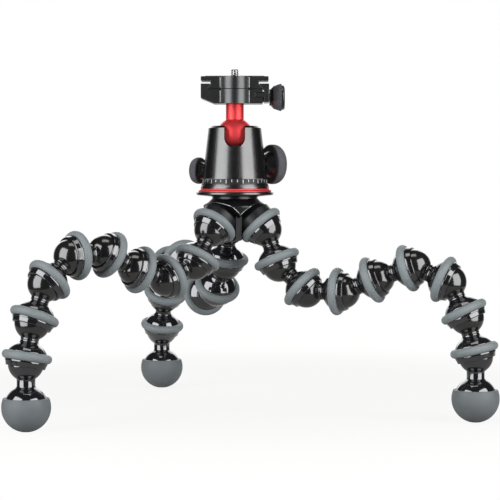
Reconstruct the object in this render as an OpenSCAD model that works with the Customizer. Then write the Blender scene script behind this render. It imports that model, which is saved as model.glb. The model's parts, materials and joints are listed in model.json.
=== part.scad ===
// Flexible leg tripod with a ball head and a quick-release clamp
// Millimetres, +Z up, floor at z = 0, origin under the middle of the overall box.
// The front of the ball head, with its notch, faces -Y.

/* [Leg segments] */
// Ball centre to ball centre along one segment
segment_pitch = 30; // [29.5:0.5:36]
// Diameter of each leg ball
ball_dia = 26.6; // [26:0.1:27]
// Diameter of the neck between a ball and the next cup
neck_dia = 13.6; // [11:0.2:14]
// Gap between a ball and its socket
socket_gap = 0.15; // [0.1:0.05:0.3]
// Thickness of the dome over a socket
dome_wall = 3; // [2.7:0.1:3.3]
// Reach of the socket lip past the ball centre
lip_reach = 3.2; // [2.6:0.1:3.4]
// Thickness of the lip at its edge
lip_edge = 0.7; // [0.5:0.1:1]
// Diameter of the collar under the grip ring
collar_dia = 31.5; // [30.6:0.1:32.5]
// Height of the step on that collar
collar_step = 1.2; // [0.8:0.1:1.6]
// Diameter of the spigot that plugs a ball stud into its cup
spigot_dia = 8; // [6:0.5:9]
// Diameter of the hollow in the back of a ball
hollow_dia = 12; // [8:0.5:14]
// Depth of that hollow
hollow_depth = 7.5; // [4:0.5:9]

/* [Grip rings] */
// Outside diameter of a rubber grip ring
ring_dia = 37; // [35:0.5:38]
// Width of a grip ring
ring_width = 6.6; // [5:0.2:6.8]
// Distance of the ring behind the ball centre
ring_back = 4.8; // [4.2:0.1:5.4]

/* [Feet] */
// Outside diameter of the rubber foot pad
foot_dia = 36.4; // [34:0.2:40]
// Thickness of the rubber
foot_wall = 1.8; // [1.2:0.1:2.6]
// Last ball centre to the centre of the foot
foot_reach = 32.4; // [31:0.2:38]
// Height of the pad's rim above the centre of the foot
foot_rim = 6.8; // [3:0.2:9]
// Depth of the flat sole
sole_flat = 0.45; // [0.2:0.05:0.8]

/* [Leg pose] */
// Direction of the right leg from above, in degrees
right_heading = -20; // [-24:1:-12]
// Direction of the left leg from above, in degrees
left_heading = 218; // [214:1:226]
// Direction of the rear leg from above, in degrees
rear_heading = 112; // [98:1:118]
// Slope of each right segment below the horizon, hub first
right_slopes = [67, 41, 0, -22, -18, 22, 63, 76]; // [-90:1:90]
// Slope of each left segment below the horizon, hub first
left_slopes = [58, 22, -18, -25, 6, 41, 68, 79]; // [-90:1:90]
// Slope of each rear segment below the horizon, hub first
rear_slopes = [74, 48, 7, -34, -21, 20, 61, 76]; // [-90:1:90]

/* [Hub] */
// Direction of the right socket from above, in degrees
hub_turn = -18; // [-24:1:-12]
// Slope of the sockets below the horizon
socket_slope = 47; // [45:1:49]
// Radius of the circle through the socket centres
socket_radius = 24.8; // [24.4:0.1:28]
// Depth of the socket centres under the base disc
socket_drop = 25.7; // [24:0.1:27]
// Diameter of the hub's neck
hub_neck_dia = 35.8; // [34:0.2:38]
// Height of the hub's neck
hub_neck_h = 1.6; // [1:0.1:2.5]
// Diameter of the hub's shoulder
shoulder_dia = 48.8; // [46:0.2:52]
// Depth of the shoulder under the base disc
shoulder_drop = 7; // [6:0.1:9]
// Height of the shoulder's band
shoulder_h = 1.4; // [1:0.1:2]
// Thickness of the ribs between the sockets
rib_w = 4.8; // [3:0.2:6]
// Reach of the ribs from the hub's axis
rib_reach = 15.5; // [14:0.2:17]
// Depth of the hub under the base disc
hub_depth = 34.6; // [33:0.2:37]
// Diameter of the hub's apron at its lower edge
apron_dia = 37; // [35:0.5:39]
// Drop of the apron's lower edge below the base disc
apron_drop = 17; // [16.5:0.1:18]
// Distance of the apron's three cut faces behind the ball centres
apron_back = 18; // [17.4:0.1:18.6]
// Diameter of the stud that joins head and hub
stud_dia = 9.525; // [8:0.005:10]
// Depth of the stud in the hub
stud_depth = 12; // [8:0.5:13]

/* [Head base] */
// Diameter of the base disc
disc_dia = 60.6; // [58:0.2:66]
// Thickness of the base disc
disc_h = 4; // [3:0.1:5]
// Thickness of the disc's rim
disc_rim = 1.2; // [0.6:0.1:1.6]
// Diameter of the accent ring
accent_dia = 57.4; // [55:0.2:58]
// Height of the accent ring
accent_h = 2.4; // [2:0.1:3]
// Diameter of the pan base at its foot
pan_base_dia = 53.8; // [52:0.2:55]
// Diameter of the graduated band
band_dia = 51.4; // [50:0.2:51.8]
// Height of the foot of the pan base
pan_foot_h = 3.6; // [3:0.1:4.5]
// Height of the graduated band
band_h = 3.7; // [3:0.1:5]
// Diameter of the spindle that the housing turns on
spindle_dia = 18; // [16:0.5:20]
// Thickness of the bearing plate
bearing_h = 3.4; // [2.5:0.1:3.6]
// Diameter of the bearing plate
bearing_dia = 40; // [36:0.5:41]
// Diameter of the retainer's flange
retainer_dia = 24; // [21:0.5:25]
// Thickness of the retainer's flange
retainer_h = 2.4; // [1.8:0.1:2.6]
// Diameter of the retainer's screw
retainer_screw_dia = 6; // [4:0.5:7]
// Gap between the parts that turn on each other
turn_gap = 0.3; // [0.2:0.05:0.4]

/* [Ball head housing] */
// Diameter of the housing at its foot
housing_dia = 50.8; // [49.4:0.2:52]
// Diameter of the housing at its rim
housing_rim_dia = 41.4; // [40:0.2:44]
// Height of the housing
housing_h = 41.5; // [40.5:0.1:45]
// Bevel on the housing's rim
rim_bevel = 1.6; // [0.5:0.1:2]
// Diameter of the ball
tilt_ball_dia = 29; // [28:0.1:29.4]
// Depth of the ball's centre under the rim
tilt_ball_drop = 7.8; // [7:0.1:8.6]
// Gap between the ball and what holds it
ball_gap = 0.3; // [0.2:0.05:0.4]
// Width of the notch in the front wall
notch_w = 16.2; // [15:0.2:18]
// Drop of the notch's round end below the ball's centre
notch_drop = 1.4; // [0.6:0.1:2]
// Height of the ball seat
seat_h = 10.2; // [8:0.1:11]
// Diameter of the opening in the ball seat
seat_bore = 12; // [8:0.5:16]

/* [Lock knobs] */
// Direction of the lock knob from above, in degrees
lock_heading = 30; // [20:1:34]
// Height of the lock knob's axis above the housing's foot
lock_z = 11.4; // [11.1:0.1:11.7]
// Diameter of the lock knob
lock_dia = 31.5; // [28:0.5:32]
// Thickness of the lock knob's rubber grip
lock_grip_w = 8.8; // [8:0.2:12]
// Diameter of the lock shaft
lock_shaft_dia = 8; // [6:0.2:8.2]
// Direction of the pan knob from above, in degrees
pan_heading = 152; // [148:1:170]
// Height of the pan knob's axis above the housing's foot
pan_z = 6.4; // [6.2:0.1:7]
// Diameter of the pan knob
pan_dia = 21; // [18:0.5:22]
// Thickness of the pan knob's rubber grip
pan_grip_w = 6.6; // [6:0.2:10]
// Diameter of the pan shaft
pan_shaft_dia = 5; // [4:0.2:5.2]
// Length of the black cone under each knob's grip
knob_cone_h = 4.4; // [3:0.1:5]
// Thickness of the rubber on the knobs
knob_rubber = 2.1; // [1.5:0.1:2.5]
// Gap between the knobs and the housing
knob_gap = 0.8; // [0.5:0.1:1.5]

/* [Stem and clamp] */
// Diameter of the stem
stem_dia = 14; // [12:0.2:14.2]
// Ball centre to the underside of the clamp
stem_reach = 25; // [24.9:0.1:32]
// Length of the stem's spigot in the ball
stem_spigot_h = 9; // [6:0.5:11]
// Half width of the clamp and the plate
clamp_half = 26.4; // [26:0.1:28]
// Depth of the clamp and the plate from front to back
clamp_depth = 36; // [34:0.5:40]
// Diameter of the round boss on the front and back
boss_dia = 23.5; // [21:0.5:25]
// How far the boss stands out from the front and back
boss_out = 6; // [4:0.2:7.5]
// Height of the clamp's floor above its underside
floor_h = 11.1; // [10.8:0.1:13]
// Height of the jaws above the floor
jaw_h = 4.3; // [4.1:0.1:4.6]
// Height of the sloping underside of the fixed jaw
jaw_slope_h = 4.3; // [3:0.1:5]
// Thickness of the moving jaw
jaw_wall = 4; // [3.4:0.1:5]
// Room between the body and the moving jaw
jaw_room = 1; // [0.8:0.1:1.2]
// Length of the jaw's guide tongues in the body
tongue_len = 6; // [5:0.1:8]
// Height of the guide tongues
tongue_h = 3.4; // [2.5:0.1:4]
// Depth of the guide tongues
tongue_w = 4; // [3:0.2:5]
// Width of the guide in the middle of the moving jaw
guide_w = 14; // [10:0.5:16]
// Reach of that guide into the clamp body
guide_len = 3; // [2:0.1:3.5]
// Height of the clamp screw above the underside
screw_z = 5.2; // [4.8:0.1:5.4]
// Diameter of the clamp screw
clamp_screw_dia = 5; // [4:0.1:5.4]
// Length of the clamp screw inside the body
clamp_screw_in = 14.8; // [10:0.1:15]
// Diameter of the clamp bolt
bolt_dia = 5; // [4:0.1:5.6]
// Diameter of the clamp bolt's head
bolt_head_dia = 10; // [8.5:0.1:11]
// Height of the clamp bolt's head
bolt_head_h = 3.5; // [2.5:0.1:3.8]
// Length of the clamp bolt in the stem
bolt_in = 10.5; // [8:0.1:11]

/* [Clamp knob] */
// Diameter of the knob at its neck
knob_neck_dia = 13.2; // [11:0.2:14]
// Diameter of the rubber cone at its wide end
knob_wide_dia = 21.5; // [19:0.5:24]
// Length of the black neck
knob_neck_len = 3.1; // [2.5:0.1:4]
// Length of the rubber cone
knob_cone_len = 6.4; // [5:0.1:8]
// Thickness of the end cap
knob_cap_h = 2.6; // [2:0.1:3.5]

/* [Quick-release plate] */
// Half width of the dovetail's waist
waist_half = 18.9; // [18:0.1:19.4]
// Height of the dovetail's flanks
flank_h = 3.5; // [3:0.1:3.7]
// Height from the plate's underside to the wings
wing_z = 6.5; // [6.2:0.1:7]
// Thickness of the wings
wing_h = 3.3; // [2.8:0.1:4]
// Bevel along the wings' top edges
wing_bevel = 0.5; // [0.3:0.1:0.8]
// Gap between the plate and the clamp
plate_gap = 0.25; // [0.2:0.05:0.3]
// Width of the rubber pad
pad_w = 46; // [40:0.5:48]
// Depth of the rubber pad from front to back
pad_d = 32; // [28:0.5:34]
// Corner radius of the rubber pad
pad_r = 3; // [2:0.5:5]
// Thickness of the rubber pad
pad_h = 1.2; // [1:0.1:1.6]
// Height of the pad above the plate
pad_proud = 0.4; // [0.3:0.1:0.8]
// Diameter of the camera screw
camera_screw_dia = 6.35; // [5:0.05:9.55]
// Diameter of the camera screw's plain shank
shank_dia = 5; // [4:0.1:6]
// Height of the camera screw above the pad
camera_screw_h = 5.6; // [4.5:0.1:7]
// Diameter of the camera screw's head
screw_head_dia = 14; // [12:0.5:16]
// Height of the camera screw's head
screw_head_h = 3.4; // [2.6:0.1:3.6]
// Width of the coin slot in that head
coin_slot_w = 1.8; // [1.2:0.1:2.4]

/* [Hidden] */
$fn = 64;
// Gap between pieces that are fastened together
seat = 0.05;
// Radial gap round a shaft that turns
shaft_gap = 0.1;
// Reach of a cut past the face that it opens
past = 1;
black = [0.07, 0.07, 0.08];
satin = [0.16, 0.16, 0.17];
grey_rubber = [0.52, 0.55, 0.55];
knob_grey = [0.37, 0.36, 0.38];
pad_black = [0.12, 0.12, 0.12];
red = [0.86, 0.16, 0.19];
steel = [0.72, 0.72, 0.72];
brass = [0.74, 0.6, 0.3];
nylon = [0.85, 0.84, 0.8];

// Names and counts
LEGS = ["right", "left", "rear"];
SEGMENTS = [for (k = [1:len(right_slopes)]) k];
function segment_name(leg, k) = str(LEGS[leg], "_leg_segment_", k);
function stem_name(leg) = str(LEGS[leg], "_foot_stem");
function pad_name(leg) = str(LEGS[leg], "_foot_pad");

// Socket and ring
ball_r = ball_dia / 2;
neck_r = neck_dia / 2;
socket_r = ball_r + socket_gap;
dome_r = socket_r + dome_wall;
ring_r = ring_width / 2;
ring_mid_r = ring_dia / 2 - ring_r;
ring_top = -ring_back - ring_r;
ring_low = -ring_back + ring_r;
ring_seat_r = sqrt(dome_r * dome_r - ring_top * ring_top);
collar_r = collar_dia / 2;
lip_r = sqrt(socket_r * socket_r - lip_reach * lip_reach) + lip_edge;
// Along a segment from its ball: end of the ball, seam of the neck, start of the dome
neck_start = sqrt(ball_r * ball_r - neck_r * neck_r);
dome_start = segment_pitch - sqrt(dome_r * dome_r - neck_r * neck_r);
seam = (neck_start + dome_start) / 2;
neck_flare = neck_dia * 0.118;
spigot_r = spigot_dia / 2;
spigot_end = segment_pitch - socket_r - turn_gap;
ball_back = ball_r * 0.8;

// Feet
foot_r = foot_dia / 2;
foot_core_r = foot_r - foot_wall;
foot_drop = foot_reach + foot_r - sole_flat;

// Where the legs stand: the right leg sets the height, the others reach the same floor
HEADINGS = [right_heading, left_heading, rear_heading];
SLOPES = [right_slopes, left_slopes, rear_slopes];
// The segment of each leg that is turned to meet the floor
TRIMMED = [undef, 4, 2];
function total(list, i = 0) = i < len(list) ? list[i] + total(list, i + 1) : 0;
function fall(list) = total([for (s = list) sin(s)]);
right_fall = fall(right_slopes);
function trimmed_slope(leg) =
    let (j = TRIMMED[leg], s = SLOPES[leg])
    asin(min(1, max(-1, right_fall - fall(s) + sin(s[j]))));
function slopes(leg) =
    [for (i = [0:len(SLOPES[leg]) - 1]) i == TRIMMED[leg] ? trimmed_slope(leg) : SLOPES[leg][i]];
STANDING = [for (leg = [0:2]) slopes(leg)];
function slope(leg, k) = k <= len(SEGMENTS) ? STANDING[leg][k - 1] : 90;
function heading_dir(heading, s) = [cos(s) * cos(heading), cos(s) * sin(heading), -sin(s)];
function along(leg, k) = heading_dir(HEADINGS[leg], slope(leg, k));
first_ball_z = segment_pitch * right_fall + foot_drop;
stand = first_ball_z + socket_drop;
core_waist = rib_reach - rib_w / 3;
apron_r = apron_dia / 2;
apron_mid_r = (shoulder_dia / 2 + apron_r) / 2 + rib_w / 6;
apron_mid_z = -(shoulder_drop + shoulder_h + apron_drop) / 2 - rib_w / 8;
rib_rise = rib_w / 8;
drum_foot_r = ring_seat_r * 0.76;
function socket_heading(leg) = hub_turn + [0, 240, 120][leg];
function socket_at(leg) =
    let (h = socket_heading(leg)) [socket_radius * cos(h), socket_radius * sin(h), first_ball_z];
// Ball centre of segment k, measured from the head's axis
function ball_at(leg, k) =
    k == 1 ? socket_at(leg) : ball_at(leg, k - 1) + segment_pitch * along(leg, k - 1);

// The middle of the overall box, from the rings and the feet
function ring_centre(leg, k) = ball_at(leg, k + 1) - ring_back * along(leg, k);
function ring_half(leg, k, axis) =
    let (n = along(leg, k)[axis]) ring_mid_r * sqrt(1 - n * n) + ring_r;
function reach(axis, side) = [
    for (leg = [0:2]) each [
        for (k = SEGMENTS) ring_centre(leg, k)[axis] + side * ring_half(leg, k, axis),
        ball_at(leg, len(SEGMENTS) + 1)[axis] + side * foot_r
    ]
];
middle = [for (axis = [0, 1]) (min(reach(axis, -1)) + max(reach(axis, 1))) / 2];

// Heights in the head, above the underside of the base disc
stud_r = stud_dia / 2;
accent_z = disc_h;
pan_base_z = accent_z + accent_h;
band_z = pan_base_z + pan_foot_h;
band_top = band_z + band_h;
housing_z = band_top + turn_gap;
bearing_top = housing_z + bearing_h;
spindle_top = bearing_top + turn_gap;
retainer_top = spindle_top + retainer_h;
rim_z = housing_z + housing_h;
ball_z = rim_z - tilt_ball_drop;
tilt_r = tilt_ball_dia / 2;
chamber_r = tilt_r + ball_gap;
lock_axis_z = housing_z + lock_z;
pan_axis_z = housing_z + pan_z;
stud_top = pan_base_z + pan_foot_h;
spindle_r = spindle_dia / 2;
retainer_screw_r = retainer_screw_dia / 2;
stem_r = stem_dia / 2;
stem_spigot_r = spigot_dia / 2;
clamp_z = ball_z + stem_reach;
stem_foot = ball_z + sqrt(tilt_r * tilt_r - stem_r * stem_r);
floor_z = clamp_z + floor_h;
jaw_top = floor_z + jaw_h;
knob_axis_z = clamp_z + screw_z;
plate_z = floor_z + plate_gap;
wing_bottom = plate_z + wing_z;
plate_top = wing_bottom + wing_h;
pad_top = plate_top + pad_proud;
screw_top = pad_top + camera_screw_h;
foot_half = waist_half + flank_h;
boss_r = boss_dia / 2;
boss_y = clamp_depth / 2 + boss_out - boss_r;
jaw_inner = clamp_half - jaw_wall * 0.9;
body_right = jaw_inner - jaw_room;
jaw_face = jaw_inner + jaw_wall;
tongue_z = knob_axis_z - tongue_h * 0.09;
guide_z = clamp_z + 1.5 * past;
guide_h = floor_h - 3 * past;
lock_r = lock_dia / 2;
// Share of a knob's radius at which its rubber meets its cone
KNOB_FACE = 0.68;
pan_r = pan_dia / 2;
bolt_r = bolt_dia / 2;
bolt_head_r = bolt_head_dia / 2;
bolt_head_z = floor_z - bolt_head_h * 1.2;
clamp_screw_r = clamp_screw_dia / 2;
camera_screw_r = camera_screw_dia / 2;
screw_head_r = screw_head_dia / 2;
screw_head_z = plate_z + screw_head_h * 0.147;
thread_z = pad_top + turn_gap;
thread_bevel = 0.6;

// Placing

module on_head() {
    translate([-middle[0], -middle[1], stand]) children();
}

module on_leg(leg, k) {
    translate(ball_at(leg, k) - [middle[0], middle[1], 0])
        rotate([0, 90 + slope(leg, k), HEADINGS[leg]])
            children();
}

module on_socket(leg) {
    translate(socket_at(leg) - [0, 0, stand])
        rotate([0, 90 + socket_slope, socket_heading(leg)])
            children();
}

module on_knob(heading, z) {
    translate([0, 0, z]) rotate([0, 90, heading]) children();
}

module revolve() {
    rotate_extrude() intersection() {
        translate([0, -2 * segment_pitch]) square([4 * segment_pitch, 6 * segment_pitch]);
        children();
    }
}

module band_2d(r0, r1, z0, z1) {
    translate([r0, z0]) square([r1 - r0, z1 - z0]);
}

// Leg profiles, on the leg's axis with the ball centre at zero and the foot side up

module collar_2d() {
    polygon([
        [0, ring_low + seat],
        [collar_r, ring_low + seat],
        [collar_r, ring_low + collar_step],
        [collar_r - collar_step * 0.42, ring_low + collar_step],
        [lip_r, lip_reach],
        [0, lip_reach]
    ]);
}

module cup_2d() {
    intersection() {
        circle(dome_r);
        band_2d(0, dome_r, -dome_r, ring_top);
    }
    band_2d(0, ring_seat_r, ring_top - seat, ring_low + 2 * seat);
    collar_2d();
}

module ring_2d() {
    intersection() {
        translate([ring_mid_r, -ring_back]) circle(ring_r);
        band_2d(ring_seat_r + seat, ring_dia, -dome_r, dome_r);
    }
}

module neck_2d() {
    dome_side = seam - segment_pitch;
    polygon([
        [0, dome_side + seat],
        [neck_r, dome_side + seat],
        [neck_r, dome_side + neck_flare / 2],
        [neck_r + neck_flare, -sqrt(dome_r * dome_r - pow(neck_r + neck_flare, 2))],
        [0, -sqrt(dome_r * dome_r - pow(neck_r + neck_flare, 2))]
    ]);
}

module ball_2d() {
    difference() {
        circle(ball_r);
        band_2d(0, ball_r, -ball_r - past, -ball_back);
        band_2d(0, hollow_dia / 2, -ball_back - past, -ball_back + hollow_depth);
    }
}

module ball_stud() {
    revolve() {
        ball_2d();
        band_2d(0, neck_r, neck_start - past, seam - seat);
        band_2d(0, spigot_r, neck_start, spigot_end);
    }
}

module cup() {
    translate([0, 0, segment_pitch]) revolve() difference() {
        union() {
            cup_2d();
            neck_2d();
        }
        circle(socket_r);
        band_2d(0, spigot_r + seat, seam - segment_pitch - past, 0);
    }
}

module grip_ring() {
    revolve() ring_2d();
}

module leg_segment(leg, k) {
    on_leg(leg, k) {
        color(black) ball_stud();
        color(black) cup();
        color(grey_rubber) translate([0, 0, segment_pitch]) grip_ring();
    }
}

module foot_stem(leg) {
    color(black) on_leg(leg, len(SEGMENTS) + 1) revolve() {
        ball_2d();
        band_2d(0, neck_r, neck_start - past, foot_reach);
        translate([0, foot_reach]) circle(foot_core_r);
    }
}

module foot_pad(leg) {
    color(grey_rubber) on_leg(leg, len(SEGMENTS) + 1) revolve() difference() {
        translate([0, foot_reach]) circle(foot_r);
        translate([0, foot_reach]) circle(foot_core_r + seat);
        band_2d(0, foot_dia, 0, foot_reach - foot_rim);
        band_2d(0, foot_dia, foot_drop, foot_drop + foot_dia);
    }
}

// Hub

module hub_core() {
    revolve() polygon([
        [0, -seat],
        [hub_neck_dia / 2, -seat],
        [hub_neck_dia / 2, -hub_neck_h],
        [shoulder_dia / 2, -shoulder_drop],
        [shoulder_dia / 2, -shoulder_drop - shoulder_h],
        [apron_mid_r, apron_mid_z],
        [apron_r, -apron_drop],
        [core_waist, -apron_drop - (apron_r - core_waist)],
        [rib_w, -hub_depth],
        [0, -hub_depth]
    ]);
}

// Drum behind a socket of the hub, running into the apron's cut face
module drum_2d() {
    polygon([
        [0, -apron_back - rib_w / 2],
        [drum_foot_r, -apron_back - rib_w / 2],
        [drum_foot_r, -apron_back],
        [ring_seat_r, rib_w / 2 - dome_r],
        [ring_seat_r, ring_top],
        [0, ring_top]
    ]);
}

module hub_ribs() {
    translate([0, 0, -hub_depth]) cylinder(r = rib_w, h = hub_depth - hub_neck_h);
    for (leg = [0:2])
        rotate(socket_heading(leg) + 60)
            translate([0, -rib_w / 2, rib_rise - hub_depth])
                cube([rib_reach, rib_w, hub_depth - rib_rise - shoulder_drop]);
}

module hub_body() {
    color(black) on_head() difference() {
        union() {
            difference() {
                union() {
                    difference() {
                        hub_core();
                        for (leg = [0:2])
                            on_socket(leg)
                                translate([0, 0, -apron_back])
                                    cylinder(r = shoulder_dia, h = 2 * segment_pitch);
                    }
                    hub_ribs();
                }
                for (leg = [0:2])
                    on_socket(leg)
                        translate([0, 0, ring_top])
                            cylinder(r = ring_dia / 2 + turn_gap, h = segment_pitch);
            }
            for (leg = [0:2])
                on_socket(leg) revolve() {
                    cup_2d();
                    drum_2d();
                }
        }
        for (leg = [0:2]) on_socket(leg) revolve() circle(socket_r);
        translate([0, 0, -stud_depth - seat]) cylinder(r = stud_r + seat, h = stud_depth + past);
    }
}

module hub_grip_rings() {
    color(grey_rubber) on_head() for (leg = [0:2]) on_socket(leg) grip_ring();
}

module head_mount_stud() {
    color(steel) on_head()
        translate([0, 0, -stud_depth]) cylinder(r = stud_r, h = stud_depth + stud_top);
}

// Head base

module base_disc() {
    color(black) on_head() revolve() polygon([
        [stud_r + seat, 0],
        [hub_neck_dia / 2, 0],
        [disc_dia / 2, disc_h * 0.65 - disc_rim / 2],
        [disc_dia / 2, disc_h * 0.65 + disc_rim / 2],
        [accent_dia / 2, disc_h - seat],
        [stud_r + seat, disc_h - seat]
    ]);
}

module accent_ring() {
    step = (accent_dia - pan_base_dia) / 2;
    color(red) on_head() revolve() polygon([
        [stud_r + seat, accent_z],
        [accent_dia / 2, accent_z],
        [accent_dia / 2, accent_z + accent_h / 3],
        [accent_dia / 2 - step, accent_z + accent_h * 0.7],
        [accent_dia / 2 - step, accent_z + accent_h - seat],
        [stud_r + seat, accent_z + accent_h - seat]
    ]);
}

module pan_base() {
    color(satin) on_head() revolve() difference() {
        polygon([
            [0, pan_base_z],
            [pan_base_dia / 2, pan_base_z],
            [pan_base_dia / 2, pan_base_z + pan_foot_h / 3],
            [band_dia / 2 + band_h * 0.08, band_z],
            [band_dia / 2, band_z],
            [band_dia / 2 - band_h * 0.08, band_top],
            [spindle_r, band_top],
            [spindle_r, spindle_top - seat],
            [0, spindle_top - seat]
        ]);
        band_2d(0, stud_r + seat, pan_base_z - past, stud_top + seat);
        band_2d(0, retainer_screw_r + seat, stud_top + past, spindle_top + past);
    }
}

module pan_retainer() {
    color(steel) on_head() difference() {
        revolve() {
            band_2d(0, retainer_dia / 2, spindle_top, retainer_top);
            band_2d(0, retainer_screw_r, stud_top + past + seat, spindle_top + past);
        }
        translate([0, 0, retainer_top - retainer_h / 2])
            cylinder(r = retainer_screw_r, h = retainer_h, $fn = 6);
    }
}

module bearing_plate() {
    color(brass) on_head() revolve()
        band_2d(spindle_r + turn_gap, bearing_dia / 2, housing_z, bearing_top);
}

// Ball head

module head_housing() {
    color(satin) on_head() difference() {
        revolve() difference() {
            polygon([
                [0, housing_z],
                [housing_dia / 2, housing_z],
                [housing_rim_dia / 2, rim_z - rim_bevel],
                [housing_rim_dia / 2 - rim_bevel, rim_z],
                [0, rim_z]
            ]);
            band_2d(0, bearing_dia / 2 + seat, housing_z - past, bearing_top + seat);
            band_2d(0, chamber_r, housing_z, ball_z);
            translate([0, ball_z]) circle(chamber_r);
        }
        translate([0, 0, ball_z - notch_drop]) rotate([90, 0, 0]) cylinder(d = notch_w, h = housing_dia);
        translate([-notch_w / 2, -housing_dia, ball_z - notch_drop])
            cube([notch_w, housing_dia, tilt_r + notch_drop]);
        on_knob(lock_heading, lock_axis_z)
            cylinder(d = lock_shaft_dia + 2 * shaft_gap, h = housing_dia);
        on_knob(pan_heading, pan_axis_z)
            cylinder(d = pan_shaft_dia + 2 * shaft_gap, h = housing_dia);
    }
}

module ball_seat() {
    seat_z = lock_axis_z + lock_shaft_dia / 2 + turn_gap;
    color(nylon) on_head() revolve() difference() {
        band_2d(seat_bore / 2, tilt_r + ball_gap / 3, seat_z, seat_z + seat_h);
        translate([0, ball_z]) circle(tilt_r + ball_gap / 3);
    }
}

module tilt_ball() {
    color(red) on_head() revolve() difference() {
        translate([0, ball_z]) circle(tilt_r);
        band_2d(0, tilt_r, stem_foot, rim_z + tilt_r);
        band_2d(0, stem_spigot_r + seat, stem_foot - stem_spigot_h - shaft_gap, rim_z + tilt_r);
    }
}

module head_stem() {
    color(red) on_head() revolve() difference() {
        union() {
            band_2d(0, stem_r, stem_foot + shaft_gap, clamp_z - seat);
            band_2d(0, stem_spigot_r, stem_foot - stem_spigot_h, stem_foot + past);
        }
        band_2d(0, bolt_r + seat, clamp_z - bolt_in - seat, clamp_z + past);
    }
}

// Knobs, drawn with their axis up and their distance from the head's axis as height

module lock_profile(r, cone_r, start, cone_h, grip_w) {
    grip_z = start + cone_h;
    polygon([
        [0, start],
        [cone_r, start],
        [r * KNOB_FACE, grip_z],
        [r - knob_rubber, grip_z + grip_w * 0.25],
        [r - knob_rubber, grip_z + grip_w * 0.7],
        [r * 0.7, grip_z + grip_w - seat],
        [0, grip_z + grip_w - seat]
    ]);
}

module grip_profile(r, start, cone_h, grip_w) {
    z = start + cone_h;
    inner = r - knob_rubber + seat;
    polygon([
        [r * KNOB_FACE + seat, z - seat],
        [r - knob_rubber / 3, z - seat],
        [r, z + grip_w * 0.12],
        [r, z + grip_w * 0.55],
        [r - knob_rubber / 3, z + grip_w * 0.8],
        [r * 0.86, z + grip_w],
        [r * 0.7 + seat, z + grip_w],
        [inner, z + grip_w * 0.7],
        [inner, z + grip_w * 0.25 - seat]
    ]);
}

function wall_at(z) =
    (housing_dia + (housing_rim_dia - housing_dia) * (z - housing_z) / (housing_h - rim_bevel)) / 2;
lock_start = wall_at(lock_axis_z - lock_shaft_dia) + knob_gap / 2;
pan_start = wall_at(pan_axis_z - pan_shaft_dia) + knob_gap / 2;
lock_cone_h = knob_cone_h * 1.3;
lock_shaft_end = lock_start + lock_cone_h + lock_grip_w / 2;
pan_shaft_end = pan_start + knob_cone_h + pan_grip_w / 2;

module lock_shaft() {
    r = lock_shaft_dia / 2;
    color(steel) on_head() on_knob(lock_heading, lock_axis_z) revolve() polygon([
        [0, -r],
        [r / 2, -r],
        [r, 0],
        [r, lock_shaft_end],
        [0, lock_shaft_end]
    ]);
}

module lock_knob() {
    r = lock_shaft_dia / 2;
    color(black) on_head() on_knob(lock_heading, lock_axis_z) revolve() difference() {
        lock_profile(lock_r, lock_shaft_dia * 0.9, lock_start, lock_cone_h, lock_grip_w);
        band_2d(0, r + seat, lock_start - past, lock_shaft_end + seat);
    }
}

module lock_knob_grip() {
    color(knob_grey) on_head() on_knob(lock_heading, lock_axis_z) revolve()
        grip_profile(lock_r, lock_start, lock_cone_h, lock_grip_w);
}

module pan_shaft() {
    color(steel) on_head() on_knob(pan_heading, pan_axis_z)
        translate([0, 0, retainer_dia / 2 + turn_gap])
            cylinder(d = pan_shaft_dia, h = pan_shaft_end - retainer_dia / 2 - turn_gap);
}

module pan_knob() {
    color(black) on_head() on_knob(pan_heading, pan_axis_z) revolve() difference() {
        lock_profile(pan_r, pan_shaft_dia * 0.9, pan_start, knob_cone_h, pan_grip_w);
        band_2d(0, pan_shaft_dia / 2 + seat, pan_start - past, pan_shaft_end + seat);
    }
}

module pan_knob_grip() {
    color(knob_grey) on_head() on_knob(pan_heading, pan_axis_z) revolve()
        grip_profile(pan_r, pan_start, knob_cone_h, pan_grip_w);
}

// Clamp and plate

module across(depth) {
    rotate([90, 0, 0]) linear_extrude(depth, center = true) children();
}

module bosses(z0, z1) {
    for (side = [-1, 1])
        translate([0, side * boss_y, z0]) cylinder(r = boss_r, h = z1 - z0);
}

// Inner outline of a jaw: clear of the plate's foot, flank and waist
jaw_flank = [
    [foot_half + plate_gap, plate_z - plate_gap],
    [foot_half + plate_gap, plate_z],
    [waist_half + plate_gap, plate_z + flank_h],
    [waist_half + plate_gap, jaw_top]
];

module clamp_body() {
    color(satin) on_head() difference() {
        union() {
            across(clamp_depth) polygon(concat(
                [[body_right, floor_z],
                 [body_right, clamp_z],
                 [-clamp_half + jaw_slope_h * 2.4, clamp_z],
                 [-clamp_half, clamp_z + jaw_slope_h],
                 [-clamp_half, jaw_top]],
                [for (i = [len(jaw_flank) - 1:-1:0]) [-jaw_flank[i][0], jaw_flank[i][1]]]
            ));
            bosses(clamp_z, floor_z);
        }
        translate([0, 0, bolt_head_z]) cylinder(r = bolt_head_r + seat, h = floor_h);
        translate([0, 0, clamp_z - past]) cylinder(r = bolt_r + seat, h = floor_h);
        translate([body_right - clamp_screw_in - turn_gap, 0, knob_axis_z]) rotate([0, 90, 0])
            cylinder(r = clamp_screw_r + shaft_gap, h = clamp_half);
        for (side = [-1, 1])
            translate([body_right - tongue_len - turn_gap,
                       side * (clamp_depth - tongue_w) / 2 - tongue_w / 2 - turn_gap,
                       tongue_z - turn_gap])
                cube([tongue_len + past, tongue_w + 2 * turn_gap, tongue_h + 2 * turn_gap]);
        translate([body_right - guide_len - turn_gap, -guide_w / 2 - turn_gap, guide_z - turn_gap])
            cube([guide_len + past, guide_w + 2 * turn_gap, guide_h + 2 * turn_gap]);
    }
}

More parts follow.
